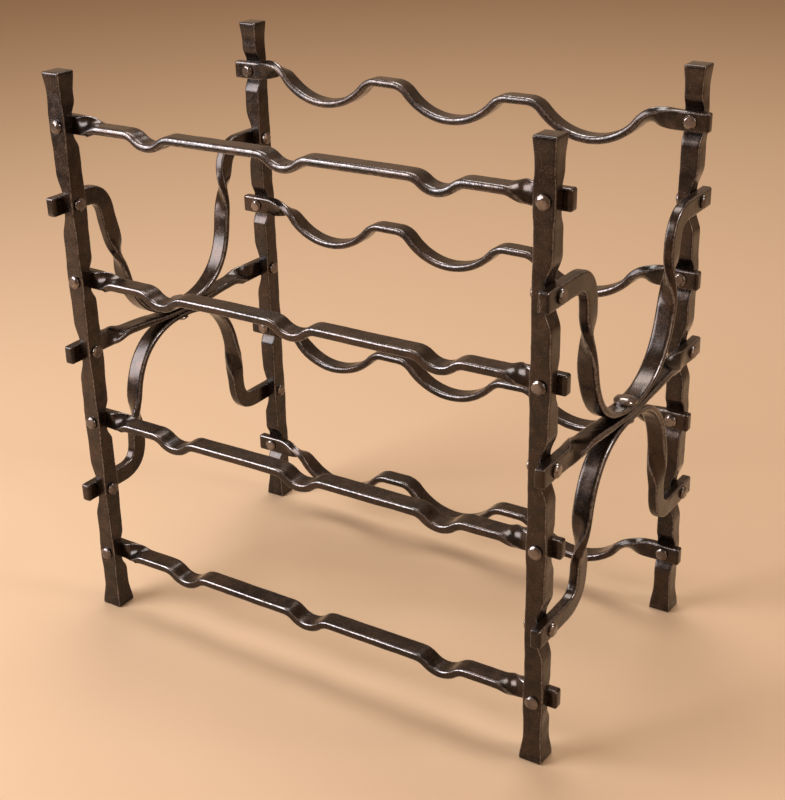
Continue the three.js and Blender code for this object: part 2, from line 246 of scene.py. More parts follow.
@dataclass(frozen=True)
class ForgedFinish:
    """Dark waxed forge scale over hammered steel, with a fine grain, and edges painted lighter, partly as
    rubbed wear and partly as a painted highlight.
    """

    name: str
    scale_dark: Colour = (0.010, 0.0062, 0.0042)
    scale_brown: Colour = (0.038, 0.0192, 0.0098)
    speck: Colour = (0.14, 0.11, 0.095)
    # A light silvery colour for the edges: partly rubbed wear, partly a painted highlight along them.
    rubbed: Colour = (0.42, 0.38, 0.37)
    speck_share: float = 0.3
    rubbed_share: float = 0.35
    roughness: Span = (0.18, 0.32)
    metallic: float = 0.78
    gloss: float = 1.5
    wax: float = 0.42
    wax_roughness: float = 0.2
    face_grain: float = 0.4
    grain_depth: float = 0.1
    dent_depth: float = 0.15
    cloud: Grain = Grain(0.035, 4.0, 0.6)
    blotch: Grain = Grain(0.16, 3.0, 0.55)
    fine: Grain = Grain(1.1, 3.0, 0.6)
    scratch: Grain = Grain(0.5, 2.0, 0.5)
    cloud_share: float = 0.6
    brown_span: Span = (0.36, 0.66)
    speck_span: Span = (0.53, 0.72)
    patch_span: Span = (0.3, 0.6)
    # How strongly the edges and the scratches are painted lighter: the edges as rubbed wear and a painted
    # highlight, the scratches as wear.
    edge_wear: float = 0.8
    scratch_wear: float = 0.55
    wear_span: Span = (0.86, 1.12)
    wear_polish: float = 0.08
    dull_span: Span = (0.35, 0.65)
    dents_per_mm: float = 0.14
    dent_softness: float = 0.5
    dent_reach: float = 0.5
    blotch_relief: float = 0.6

    def material(self) -> bpy.types.Material:
        """Builds the node material.

        Returns:
            The material.
        """
        shop = NodeShop(self.name)
        place = shop.add("ShaderNodeTexCoord", {}, {}, out="Object")
        edge = shop.add("ShaderNodeAttribute", {"attribute_name": "edge"}, {}, out="Fac")
        cloud, blotch, fine, scratch = (
            shop.soft_noise(place, grain) for grain in (self.cloud, self.blotch, self.fine, self.scratch)
        )
        brown = shop.ramp(cloud * self.cloud_share + blotch * (1.0 - self.cloud_share), self.brown_span)
        colour = shop.mix(brown, self.scale_dark, self.scale_brown)
        specks = shop.ramp(fine, self.speck_span) * shop.ramp(blotch, self.patch_span)
        colour = shop.mix(specks * self.speck_share, colour, self.speck)
        # Edges are painted lighter, partly as rubbed wear and partly as a painted highlight; the scratches
        # add real wear.
        wear_and_highlight = shop.ramp(edge * self.edge_wear + scratch * self.scratch_wear, self.wear_span)
        colour = shop.mix(wear_and_highlight * self.rubbed_share, colour, self.rubbed)
        low, high = self.roughness
        dull = shop.ramp(fine * 0.5 + blotch * 0.5, self.dull_span)
        grit = fine * (self.face_grain + edge * (1.0 - self.face_grain)) + blotch * self.blotch_relief
        return shop.finish({
            "Base Color": colour,
            "Roughness": low + (high - low) * dull - wear_and_highlight * self.wear_polish,
            "Metallic": self.metallic,
            "IOR": self.gloss,
            "Coat Weight": self.wax,
            "Coat Roughness": self.wax_roughness,
            "Normal": self._relief(shop, place, grit),
        })

    def _relief(self, shop: NodeShop, place: Wire, grit: Wire) -> Wire:
        """Lays the grain's bumps over the hammer's broad dents.

        Args:
            shop: the material's shop.
            place: the place on the piece.
            grit: how high the grain stands.

        Returns:
            The bumped normal.
        """
        cells = {"Vector": place, "Scale": self.dents_per_mm / MM, "Smoothness": self.dent_softness}
        dents = shop.add("ShaderNodeTexVoronoi", {"feature": "SMOOTH_F1"}, cells)
        broad = {"Strength": self.dent_depth, "Distance": self.dent_reach * MM, "Height": dents}
        grainy = {"Strength": 1.0, "Distance": self.grain_depth * MM, "Height": grit}
        grainy["Normal"] = shop.add("ShaderNodeBump", {}, broad)
        return shop.add("ShaderNodeBump", {}, grainy)


@dataclass(frozen=True)
class FloorFinish:
    """A plain pale matt floor."""

    name: str = "pale_floor"
    colour: Colour = (0.44, 0.30, 0.18)
    roughness: float = 0.9

    def material(self) -> bpy.types.Material:
        """Builds the floor's material."""
        shop = NodeShop(self.name)
        return shop.finish({"Base Color": (*self.colour, 1.0), "Roughness": self.roughness})


# ---------------------------------------------------------------- forging a bar


@dataclass(frozen=True)
class Hammering:
    """How uneven the hammer left a surface: shallow dents between low ridges, and a slow wander."""

    dent: float = 0.16
    dent_size: float = 7.0
    wander: float = 0.18
    wander_size: float = 16.0
    seed: float = 0.0
    seed_stride: tuple[float, float, float] = (7.3, 3.1, 5.7)
    plain_level: float = 0.3

    def depth(self, place: Vector) -> float:
        """Gives how far out the surface lies at a place.

        Args:
            place: a point on the surface, in millimetres.

        Returns:
            The offset along the surface's normal, in millimetres.
        """
        shift = Vector([self.seed * stride for stride in self.seed_stride])
        nearest = noise.voronoi(place / self.dent_size + shift)[0][0]
        slow = noise.noise(place / self.wander_size + shift)
        return self.dent * (min(nearest, 1.0) ** 2 - self.plain_level) + self.wander * slow


@dataclass(frozen=True)
class Outline:
    """A rounded rectangle's ring of points, as shares of its half sizes and ways out of its corners."""

    arc_steps: int = 6
    long_steps: int = 8
    short_steps: int = 4
    edge_start: float = 0.45

    def ring(self) -> tuple[np.ndarray, np.ndarray, np.ndarray]:
        """Lays out the ring.

        Returns:
            Each point's share of the half sizes, its way out, and how near an edge it lies.
        """
        shares, ways, edges = [], [], []
        corners = [(1, 1), (-1, 1), (-1, -1), (1, -1)]
        for quarter, corner in enumerate(corners):
            for step in range(self.arc_steps + 1):
                turn = step / self.arc_steps
                angle = (quarter + turn) * math.pi / 2
                shares.append(corner)
                ways.append((math.cos(angle), math.sin(angle)))
                edges.append(blend(self.edge_start, 1.0, math.sin(math.pi * turn)))
            following = corners[(quarter + 1) % 4]
            steps = self.long_steps if following[1] == corner[1] else self.short_steps
            for step in range(1, steps):
                shares.append(tuple(blend(a, b, step / steps) for a, b in zip(corner, following)))
                ways.append((math.cos(angle), math.sin(angle)))
                edges.append(0.0)
        return np.array(shares, float), np.array(ways, float), np.array(edges, float)


@dataclass
class Sweep:
    """A rounded rectangle carried along a line, with its size and its turn set at every station."""

    centre: np.ndarray
    wide: np.ndarray
    thin: np.ndarray
    half_wide: np.ndarray
    half_thin: np.ndarray
    radius: np.ndarray
    outline: Outline = field(default_factory=Outline)

    def piece(self, name: str, hammering: Hammering) -> bpy.types.Object:
        """Builds the closed mesh.

        Args:
            name: the piece's name.
            hammering: how uneven its surface is.

        Returns:
            The piece.
        """
        shares, ways, edges = self.outline.ring()
        radius = self.radius[:, None]
        across = shares[:, 0] * (self.half_wide[:, None] - radius) + ways[:, 0] * radius
        through = shares[:, 1] * (self.half_thin[:, None] - radius) + ways[:, 1] * radius
        points = (
            self.centre[:, None]
            + across[..., None] * self.wide[:, None]
            + through[..., None] * self.thin[:, None]
        )
        outward = ways[:, 0, None] * self.wide[:, None] + ways[:, 1, None] * self.thin[:, None]
        depths = np.array([hammering.depth(Vector(point)) for point in points.reshape(-1, 3)])
        points = points + outward * depths.reshape(points.shape[:2])[..., None]
        return make_piece(name, points, np.tile(edges, len(points)))


def tube_faces(rings: int, count: int) -> list[list[int]]:
    """Joins each ring of points to the next, and closes the first and the last.

    Args:
        rings: how many rings there are.
        count: how many points each ring has.

    Returns:
        Each face's vertex numbers.
    """
    corner = np.arange(count)
    following = (corner + 1) % count
    faces = []
    for ring in range(rings - 1):
        low, high = ring * count, (ring + 1) * count
        faces += np.stack([low + corner, low + following, high + following, high + corner], -1).tolist()
    return [*faces, corner[::-1].tolist(), ((rings - 1) * count + corner).tolist()]


def make_piece(name: str, rings: np.ndarray, edges: np.ndarray, sharp: float = 50.0) -> bpy.types.Object:
    """Makes a closed mesh object from rings of points in millimetres.

    Args:
        name: the name of the solid that the piece stands for.
        rings: the points of each ring, in order along the piece.
        edges: how near an edge each point lies, from 0 to 1.
        sharp: the angle above which two faces meet in a hard edge.

    Returns:
        The object, in the scene.
    """
    mesh = bpy.data.meshes.new(name)
    mesh.from_pydata((rings.reshape(-1, 3) * MM).tolist(), [], tube_faces(*rings.shape[:2]))
    mesh.update()
    facing = sum(f.area * f.normal.dot(f.center) for f in mesh.polygons)
    if facing < 0:
        mesh.flip_normals()
    # The edge value lets the material paint edges lighter, as rubbed wear and as a painted highlight.
    mesh.attributes.new("edge", "FLOAT", "POINT").data.foreach_set("value", edges.astype(np.float32).ravel())
    mesh.shade_smooth()
    mesh.set_sharp_from_angle(angle=math.radians(sharp))
    piece = bpy.data.objects.new(name + FORGED, mesh)
    bpy.context.scene.collection.objects.link(piece)
    return piece


def slow_noise(along: np.ndarray, size: float, row: float, layer: float) -> np.ndarray:
    """Gives a slow unevenness along a bar.

    Args:
        along: the places along the bar, in millimetres.
        size: the length of one wave, in millimetres.
        row: the row of the noise that is read, which makes one bar or face differ from the next.
        layer: the layer of the noise that the row lies in.

    Returns:
        A value between -1 and 1 for each place.
    """
    return np.array([noise.noise(Vector((place / size, row, layer))) for place in along])


def tip_stations(length: float, step: float, rounding: float) -> tuple[np.ndarray, np.ndarray]:
    """Spaces stations along a bar, closer together where its tips round over.

    Args:
        length: the bar's length along its line.
        step: the spacing of the stations between its tips.
        rounding: the radius that each tip is rounded to.

    Returns:
        Each station's distance from the start, and how far in its outline is drawn there.
    """
    angles = np.linspace(0.0, math.pi / 2, TIP_STEPS)
    near = rounding * (1.0 - np.cos(angles))
    inset = rounding * (1.0 - np.sin(angles))
    middle = np.linspace(rounding, length - rounding, max(int(length / step), 2))[1:-1]
    places = np.concatenate([near, middle, length - near[::-1]])
    insets = np.concatenate([inset, np.zeros(len(middle)), inset[::-1]])
    return places, insets


class Plane(Enum):
    """The upright plane that a bent bar lies in."""

    RAIL = 0
    SIDE = 1

    def to_space(self, along: np.ndarray, out: np.ndarray, up: np.ndarray) -> np.ndarray:
        """Turns places in the plane into places in the rack."""
        order = (along, out, up) if self is Plane.RAIL else (out, along, up)
        return np.stack(np.broadcast_arrays(*order), -1)


BarShape = Callable[[np.ndarray, np.ndarray], np.ndarray]


@dataclass
class BentBar:
    """A flat bar bent in one upright plane, with a twist between its upright tabs and its flat length."""

    name: str
    plane: Plane
    offset: float
    line: np.ndarray
    turn: BarShape
    hammering: Hammering
    tab_height: float = 13.0
    tab_thickness: float = 7.0
    width: float = 14.4
    thickness: float = 5.6
    tab_radius: float = 1.6
    bar_radius: float = 2.45
    tip_radius: float = 1.5
    step: float = 1.5
    pinched: BarShape = lambda h, thickness: thickness

    def build(self) -> bpy.types.Object:
        """Sweeps the bar's outline along its line.

        Returns:
            The bar as one closed piece.
        """
        spans = np.linalg.norm(np.diff(self.line, axis=0), axis=1)
        reach = np.concatenate([[0.0], np.cumsum(spans)])
        places, insets = tip_stations(reach[-1], self.step, self.tip_radius)
        h = np.interp(places, reach, self.line[:, 0])
        z = np.interp(places, reach, self.line[:, 1])
        ahead = np.stack([np.gradient(self.line[:, 0], reach), np.gradient(self.line[:, 1], reach)], -1)
        ahead = np.stack([np.interp(places, reach, ahead[:, i]) for i in (0, 1)], -1)
        ahead /= np.linalg.norm(ahead, axis=1)[:, None]
        angle = self.turn(h, z) * math.pi / 2
        share = np.sin(angle) ** 2
        normal = self.plane.to_space(-ahead[:, 1], np.zeros_like(h), ahead[:, 0])
        across = self.plane.to_space(np.zeros_like(h), np.ones_like(h), np.zeros_like(h))
        wide = normal * np.cos(angle)[:, None] + across * np.sin(angle)[:, None]
        thin = across * np.cos(angle)[:, None] - normal * np.sin(angle)[:, None]
        width = blend(self.tab_height, self.width, share)
        thickness = self.pinched(h, blend(self.tab_thickness, self.thickness, share))
        sweep = Sweep(
            centre=self.plane.to_space(h, np.full_like(h, self.offset), z),
            wide=wide,
            thin=thin,
            half_wide=width / 2 - insets,
            half_thin=thickness / 2 - insets,
            radius=np.maximum(blend(self.tab_radius, self.bar_radius, share) - insets, LEAST_RADIUS),
        )
        return sweep.piece(self.name, self.hammering)


# ---------------------------------------------------------------- the rack's sizes


@dataclass(frozen=True)
class RackSizes:
    """Where the posts stand and how high each bar's tabs sit on them."""

    height: float = 400.0
    post_x: float = 177.5
    post_y: float = 102.0
    rail_y: float = 96.5
    side_x: float = 183.0
    tab_face: float = 9.0
    post_half: float = 6.35
    front_rail_z: tuple[float, ...] = (44.5, 151.5, 257.5, 364.5)
    rear_rail_z: tuple[float, ...] = (48.5, 155.5, 259.0, 364.5)
    side_z: tuple[float, ...] = (97.5, 205.5, 311.5)
    crossing_z: float = 202.0
    layer: float = 3.9


class Half(Enum):
    """One half of the rack or of its side, with the sign of its direction as its value."""

    @property
    def word(self) -> str:
        """The half's name in lower case."""
        return self.name.lower()


class Side(Half):
    """The rack's left or right side."""

    LEFT = -1
    RIGHT = 1


class Tier(Half):
    """Below or above a side's crossing."""

    LOWER = -1
    UPPER = 1


class End(Half):
    """The rack's front, where the necks lie, or its rear."""

    FRONT = -1
    REAR = 1

    @property
    def rail(self) -> str:
        """What this end's rails hold."""
        return "neck" if self is End.FRONT else "body"

    def rail_heights(self, sizes: RackSizes) -> tuple[float, ...]:
        """The heights of this end's rail tabs."""
        return sizes.front_rail_z if self is End.FRONT else sizes.rear_rail_z


# ---------------------------------------------------------------- posts


@dataclass
class Post:
    """A square post with hammered seats for its bars, a flared cap and a flared foot."""

    side: Side
    end: End
    sizes: RackSizes
    foot_half: float = 8.0
    foot_flare: float = 18.0
    cap_half: float = 7.4
    cap_flare: float = 14.0
    seat_face: float = 2.0
    seat_half: float = 6.2
    rail_ramp: float = 10.0
    side_ramp: float = 16.0
    spread: float = 0.6
    corner: float = 1.1
    corner_wander: float = 0.3
    corner_size: float = 9.0
    wobble: float = 0.12
    wobble_size: float = 21.0
    row_stride: float = 4.1
    tip_radius: float = 1.1
    step: float = 1.5

    def seats(self) -> list[tuple[float, bool]]:
        """Lists each seat's height, and whether it faces along Y."""
        rails = self.end.rail_heights(self.sizes)
        return [(z, True) for z in rails] + [(z, False) for z in self.sizes.side_z]

    def build(self) -> bpy.types.Object:
        """Sweeps the post from foot to cap.

        Returns:
            The post as one closed piece.
        """
        seed = 2.0 * self.side.value + 5.0 * self.end.value + 11.0
        half = self.sizes.post_half
        z, insets = tip_stations(self.sizes.height, self.step, self.tip_radius)
        foot = 1.0 - smooth(z / self.foot_flare)
        cap = 1.0 - smooth((self.sizes.height - z) / self.cap_flare)
        plain = half + (self.foot_half - half) * foot + (self.cap_half - half) * cap
        bounds = {}
        for row, key in enumerate(("x-", "x+", "y-", "y+"), start=1):
            wander = slow_noise(z, self.wobble_size, row * self.row_stride, seed)
            bounds[key] = (plain + self.wobble * wander) * (-1.0 if key[1] == "-" else 1.0)
        for height, along_y in self.seats():
            ramp = self.rail_ramp if along_y else self.side_ramp
            share = smooth((self.seat_half + ramp - np.abs(z - height)) / ramp)
            axis, across = ("y", "x") if along_y else ("x", "y")
            facing = -self.end.value if along_y else self.side.value
            face = f"{axis}{'+' if facing > 0 else '-'}"
            bounds[face] = blend(bounds[face], facing * self.seat_face, share)
            bounds[f"{across}-"] = bounds[f"{across}-"] - self.spread * share
            bounds[f"{across}+"] = bounds[f"{across}+"] + self.spread * share
        mid_x = (bounds["x-"] + bounds["x+"]) / 2 + self.side.value * self.sizes.post_x
        mid_y = (bounds["y-"] + bounds["y+"]) / 2 + self.end.value * self.sizes.post_y
        count = len(z)
        uneven = slow_noise(z, self.corner_size, seed, 0.5)
        sweep = Sweep(
            centre=np.stack([mid_x, mid_y, z], -1),
            wide=np.tile([1.0, 0.0, 0.0], (count, 1)),
            thin=np.tile([0.0, 1.0, 0.0], (count, 1)),
            half_wide=(bounds["x+"] - bounds["x-"]) / 2 - insets,
            half_thin=(bounds["y+"] - bounds["y-"]) / 2 - insets,
            radius=np.maximum(self.corner * (1.0 + self.corner_wander * uneven) - insets, LEAST_RADIUS),
            outline=Outline(arc_steps=5, short_steps=8),
        )
        name = f"post_{self.end.word}_{self.side.word}"
        return sweep.piece(name, Hammering(dent=0.18, dent_size=9.0, wander=0.06, seed=seed))


# ---------------------------------------------------------------- rails


@dataclass(frozen=True)
class RailForm:
    """The shape that one kind of rail is bent to: arcs that dip between flat crests."""

    depth: float
    bottom_radius: float
    crest_radius: float
    rises: tuple[tuple[float, float], ...]
    edge_radii: tuple[float, ...]
    twist_from: float
    twist_to: float
    sense: float
    pitch: float = 107.0
    rise_run: float = 20.0

    def dip(self, distance: np.ndarray) -> np.ndarray:
        """Gives how far the rail dips at a distance from a column's centre."""
        bend = math.acos(1.0 - self.depth / (self.bottom_radius + self.crest_radius))
        half_span = (self.bottom_radius + self.crest_radius) * math.sin(bend)
        gap = np.abs(distance)
        bottom = np.minimum(gap, self.bottom_radius * math.sin(bend))
        crest = np.clip(half_span - gap, 0.0, self.crest_radius * math.sin(bend))
        low = self.depth - self.bottom_radius + np.sqrt(self.bottom_radius**2 - bottom**2)
        high = self.crest_radius - np.sqrt(self.crest_radius**2 - crest**2)
        return np.where(gap <= self.bottom_radius * math.sin(bend), low, high)


NECK_FORM = RailForm(
    depth=6.8, bottom_radius=17.0, crest_radius=13.0,
    rises=((-1.0, -1.0), (-0.6, -0.2), (-0.8, 0.2), (-1.0, 1.4)),
    edge_radii=(1.5, 1.5, 1.6, 2.45),
    twist_from=169.0, twist_to=149.0, sense=1.0,
)
BODY_FORM = RailForm(
    depth=20.5, bottom_radius=47.0, crest_radius=15.0,
    rises=((-2.0, -0.8), (-1.2, -1.2), (-0.4, -1.0), (3.2, 0.8)),
    edge_radii=(2.0, 2.2, 2.3, 2.45),
    twist_from=169.0, twist_to=137.0, sense=-1.0,
)


@dataclass
class Rail:
    """One rail, which lies across two posts and cradles three bottles."""

    end: End
    level: int
    sizes: RackSizes
    overhang: float = 12.5
    sway: float = 0.5
    sway_size: float = 60.0
    calm_run: float = 30.0

    @property
    def form(self) -> RailForm:
        """The shape that this rail is bent to."""
        return NECK_FORM if self.end is End.FRONT else BODY_FORM

    def build(self) -> bpy.types.Object:
        """Bends the rail.

        Returns:
            The rail as one closed piece.
        """
        form = self.form
        h = evenly(self.sizes.post_x + self.overhang)
        across = (self.sizes.post_x + h) / (2.0 * self.sizes.post_x)
        worked = smooth((self.sizes.post_x - self.sizes.post_half - np.abs(h)) / form.rise_run)
        lift = worked * blend(*form.rises[self.level], across)
        drops = np.max([form.dip(h - column * form.pitch) for column in (-1, 0, 1)], axis=0)
        seed = 20.0 + 4.0 * self.end.value + self.level
        calm = smooth((form.twist_to - np.abs(h)) / self.calm_run)
        sway = self.sway * slow_noise(h, self.sway_size, seed, 3.0) * calm
        z = self.end.rail_heights(self.sizes)[self.level] + lift - drops + sway

        def turn(place: np.ndarray, _: np.ndarray) -> np.ndarray:
            """Gives the bar's turn, in quarter turns."""
            return form.sense * smooth((form.twist_from - np.abs(place)) / (form.twist_from - form.twist_to))

        bar = BentBar(
            name=f"{self.end.rail}_rail_{self.level + 1}",
            plane=Plane.RAIL,
            offset=self.end.value * self.sizes.rail_y,
            line=np.stack([h, z], -1),
            turn=turn,
            hammering=Hammering(dent=0.10, wander=0.16, seed=seed),
            bar_radius=form.edge_radii[self.level],
        )
        return bar.build()


# ---------------------------------------------------------------- side bars


@dataclass(frozen=True)
class Leg:
    """One leg of a bow: where its hook turns down and where the leg leaves for the crossing."""

    corner_from: float = 79.0
    corner_pull: float = 61.0
    corner_to: float = 60.0
    drop: float = 19.0
    leg_to: float = 58.0
    leg_rise: float = 55.0
    first_pull: float = 54.0
    first_rise: float = 20.0
    second_pull: float = 34.0
    twist_below_tab: float = 23.0
    twist_above_crossing: float = 47.0
    points: int = 60

    def twist(self, rise: np.ndarray, tab_rise: float) -> np.ndarray:
        """Gives how far the leg's quarter twist has gone at a rise above the crossing."""
        top = tab_rise - self.twist_below_tab
        return smooth((top - rise) / (top - self.twist_above_crossing))

    def line(self, tip: float, tab_rise: float, layer_rise: float) -> np.ndarray:
        """Draws the leg from its tab's tip to the crossing, as distances and rises from the crossing.

        Args:
            tip: how far out the tab ends.
            tab_rise: how far the tab lies above the crossing.
            layer_rise: how far this bar's layer lies above the crossing.

        Returns:
            The points of the line.
        """
        share = np.linspace(0.0, 1.0, self.points)[:, None]
        start = np.array([self.corner_from, tab_rise])
        pull = np.array([self.corner_pull, tab_rise])
        corner = np.array([self.corner_to, tab_rise - self.drop])
        leg = np.array([self.leg_to, self.leg_rise])
        first = np.array([self.first_pull, self.first_rise])
        second = np.array([self.second_pull, layer_rise])
        end = np.array([0.0, layer_rise])
        hook = (1 - share) ** 2 * start + 2 * share * (1 - share) * pull + share**2 * corner
        sweep = (
            (1 - share) ** 3 * leg
            + 3 * share * (1 - share) ** 2 * first
            + 3 * share**2 * (1 - share) * second
            + share**3 * end
        )
        parts = [blend(np.array([tip, tab_rise]), start, share), hook, blend(corner, leg, share), sweep]
        return np.concatenate([parts[0], *(part[1:] for part in parts[1:])])


@dataclass
class Bow:
    """A bow: out from the front post, round to the crossing and back to the rear post."""

    side: Side
    tier: Tier
    sizes: RackSizes
    front: Leg = field(default_factory=Leg)
    rear: Leg = field(default_factory=Leg)
    overhang: float = 15.5
    easing: float = 5.0

    def build(self) -> bpy.types.Object:
        """Bends the bow.

        Returns:
            The bow as one closed piece.
        """
        facing = float(self.tier.value)
        tab_rise = facing * (self.sizes.side_z[1 + self.tier.value] - self.sizes.crossing_z)
        tip = self.sizes.post_y + self.overhang
        to_crossing = self.front.line(tip, tab_rise, self.sizes.layer) * (-1.0, 1.0)
        from_crossing = self.rear.line(tip, tab_rise, self.sizes.layer)[::-1]
        line = eased(np.concatenate([to_crossing, from_crossing[1:]]), self.easing)

        def turn(h: np.ndarray, z: np.ndarray) -> np.ndarray:
            """Gives the bar's turn, in quarter turns."""
            rise = facing * (z - self.sizes.crossing_z)
            front, rear = self.front.twist(rise, tab_rise), self.rear.twist(rise, tab_rise)
            if self.tier is Tier.UPPER:
                return np.where(h > 0, rear - 2.0, -front)
            return np.where(h > 0, rear, front)

        bar = BentBar(
            name=f"{self.side.word}_{self.tier.word}_bow",
            plane=Plane.SIDE,
            offset=self.side.value * self.sizes.side_x,
            line=line * (1.0, facing) + (0.0, self.sizes.crossing_z),
            turn=turn,
            hammering=Hammering(dent=0.08, wander=0.18, seed=40.0 + 3.0 * self.side.value + facing),
            width=13.6,
            thickness=5.2,
            pinched=pinch,
        )
        return bar.build()


def eased(line: np.ndarray, reach: float) -> np.ndarray:
    """Rounds off a line's kinks by averaging it over a short reach, and keeps its ends.

    Args:
        line: the points.
        reach: the length that is averaged over.

    Returns:
        Points at an even spacing.
    """
    spans = np.linalg.norm(np.diff(line, axis=0), axis=1)
    along = np.concatenate([[0.0], np.cumsum(spans)])
    places = np.arange(0.0, along[-1] + LINE_STEP / 2, LINE_STEP)
    even = np.stack([np.interp(places, along, line[:, i]) for i in (0, 1)], -1)
    half = int(reach / LINE_STEP / 2)
    padded = np.concatenate([
        even[0] + (even[0] - even[1]) * np.arange(half, 0, -1)[:, None],
        even,
        even[-1] + (even[-1] - even[-2]) * np.arange(1, half + 1)[:, None],
    ])
    kernel = np.ones(2 * half + 1) / (2 * half + 1)
    return np.stack([np.convolve(padded[:, i], kernel, mode="valid") for i in (0, 1)], -1)


def pinch(
    h: np.ndarray, thickness: np.ndarray, pinched: float = 3.8, reach: float = 38.0, run: float = 26.0
) -> np.ndarray:
    """Thins a side bar where the three bars are stacked at the crossing.

    Args:
        h: how far each place is from the crossing.
        thickness: the bar's thickness there.
        pinched: its thickness at the crossing.
        reach: how far from the crossing it starts to thin.
        run: the length that it takes to thin.

    Returns:
        The new thickness at each place.
    """
    return blend(thickness, pinched, smooth((reach - np.abs(h)) / run))


@dataclass
class CrossBar:
    """The straight bar through the crossing, twisted flat between its tabs."""

    side: Side
    sizes: RackSizes
    overhang: float = 15.5
    twist_from: float = 88.0
    twist_to: float = 58.0
    flat: float = 8.0
    rise_run: float = 60.0

    def build(self) -> bpy.types.Object:
        """Twists the bar.

        Returns:
            The cross bar as one closed piece.
        """
        h = evenly(self.sizes.post_y + self.overhang)
        rise = self.sizes.side_z[1] - self.sizes.crossing_z
        z = self.sizes.crossing_z + rise * smooth((np.abs(h) - self.flat) / self.rise_run)

        def turn(place: np.ndarray, _: np.ndarray) -> np.ndarray:
            """Gives the bar's turn, in quarter turns."""
            return -smooth((self.twist_from - np.abs(place)) / (self.twist_from - self.twist_to))

        bar = BentBar(
            name=f"{self.side.word}_cross_bar",
            plane=Plane.SIDE,
            offset=self.side.value * self.sizes.side_x,
            line=np.stack([h, z], -1),
            turn=turn,
            hammering=Hammering(dent=0.12, wander=0.45, seed=60.0 + self.side.value),
            thickness=5.2,
            pinched=pinch,
        )
        return bar.build()


# ---------------------------------------------------------------- rivets


@dataclass(frozen=True)
class Head:
    """A forged rivet head, hammered to a few flats."""

    radius: float = 4.6
    height: float = 3.0
    skirt: float = 0.8
    seat_share: float = 0.96
    crown_radius: float = 0.25
    side_fullness: float = 0.85
    crown_fullness: float = 0.9
    dome_steps: int = 9
    flats: int = 6
    tilt: float = 40.0
    tilt_spread: float = 7.0
    around_spread: float = 12.0
    cut: float = 0.93
    crown_tilt: Span = (3.0, 9.0)
    crown_cut: float = 0.80

    def profile(self) -> list[tuple[float, float]]:
        """Gives the head's radius and height from its crown to its seat."""
        dome = [(self.crown_radius, self.height)]
        for angle in np.linspace(0.0, math.pi / 2, self.dome_steps)[1:]:
            radius = self.radius * math.sin(angle) ** self.side_fullness
            height = self.skirt + (self.height - self.skirt) * math.cos(angle) ** self.crown_fullness
            dome.append((radius, height))
        return [*dome, (self.radius, self.skirt / 2), (self.radius * self.seat_share, 0.0)]

    def blows(self, rng: np.random.Generator) -> list[tuple[np.ndarray, float]]:
        """Draws the hammer's blows: one on the crown, then one for each flat.

        Args:
            rng: where the uneven blows come from.

        Returns:
            Each blow's direction, and the share of the head's reach that it leaves.
        """
        tilts = [(rng.uniform(*self.crown_tilt), rng.uniform(0.0, 360.0), self.crown_cut)]
        turn = rng.uniform(0.0, 360.0)
        for flat in range(self.flats):
            tilt = self.tilt + rng.uniform(-self.tilt_spread, self.tilt_spread)
            around = turn + flat * 360.0 / self.flats + rng.uniform(-self.around_spread, self.around_spread)
            tilts.append((tilt, around, self.cut))
        blows = []
        for tilt, around, cut in tilts:
            lean, spin = math.radians(tilt), math.radians(around)
            way = (math.sin(lean) * math.cos(spin), math.sin(lean) * math.sin(spin), math.cos(lean))
            blows.append((np.array(way), cut))
        return blows


class Axis(Enum):
    """The axis that a rivet lies along, with the order that its own axes take there."""

    X = (2, 0, 1)
    Y = (1, 2, 0)
    Z = (0, 1, 2)


@dataclass
class Rivet:
    """A rivet with a head at both ends of its grip."""

    name: str
    axis: Axis
    low: tuple[float, float, float]
    high: tuple[float, float, float]
    low_head: Head = field(default_factory=Head)
    high_head: Head = field(default_factory=Head)
    shank: float = 2.9
    sides: int = 30
    # How much lighter the heads' rims are painted: partly rubbed wear, partly a painted highlight.
    edge_wear: float = 0.8
    sharp: float = 24.0
    seed: int = 0

    def build(self) -> bpy.types.Object:
        """Turns the rivet and hammers its heads.

        Returns:
            The rivet as one closed piece.
        """
        rng = np.random.default_rng(self.seed)
        low, high = np.array(self.low), np.array(self.high)
        grip = np.linalg.norm(high - low) / 2
        top = self._head(self.high_head, rng) + (0.0, 0.0, grip)
        bottom = self._head(self.low_head, rng) * (1.0, 1.0, -1.0) - (0.0, 0.0, grip)
        shank = [self._ring(self.shank, grip), self._ring(self.shank, -grip)]
        rings = np.concatenate([top, shank, bottom[::-1]])
        # The outer rim of each head is painted lighter, partly as rubbed wear and partly as a painted
        # highlight.
        spread = np.hypot(rings[..., 0], rings[..., 1]) / self.high_head.radius
        edges = np.clip(spread, 0.0, 1.0) ** 3 * self.edge_wear
        placed = rings[..., self.axis.value] + (low + high) / 2
        return make_piece(self.name, placed, edges, self.sharp)

    def _ring(self, radius: float, height: float) -> np.ndarray:
        """Lays out one round ring."""
        angles = np.arange(self.sides) * 2.0 * math.pi / self.sides
        return np.stack([radius * np.cos(angles), radius * np.sin(angles), np.full(self.sides, height)], -1)

    def _head(self, head: Head, rng: np.random.Generator) -> np.ndarray:
        """Makes one head's rings and flattens them where the hammer fell.

        Args:
            head: the head's sizes.
            rng: where the uneven blows come from.

        Returns:
            The rings' points, from the crown to the seat.
        """
        rings = np.stack([self._ring(radius, height) for radius, height in head.profile()])
        for way, cut in head.blows(rng):
            reach = rings @ way
            excess = np.maximum(reach - cut * reach.max(), 0.0)
            rings = rings - excess[..., None] * way
        return rings


def rivet_seed(family: int, level: int, side: Side, end: End) -> int:
    """Gives a post's rivets seeds of their own."""
    return family + 31 * level + 7 * side.value + 3 * end.value


# ---------------------------------------------------------------- the rack


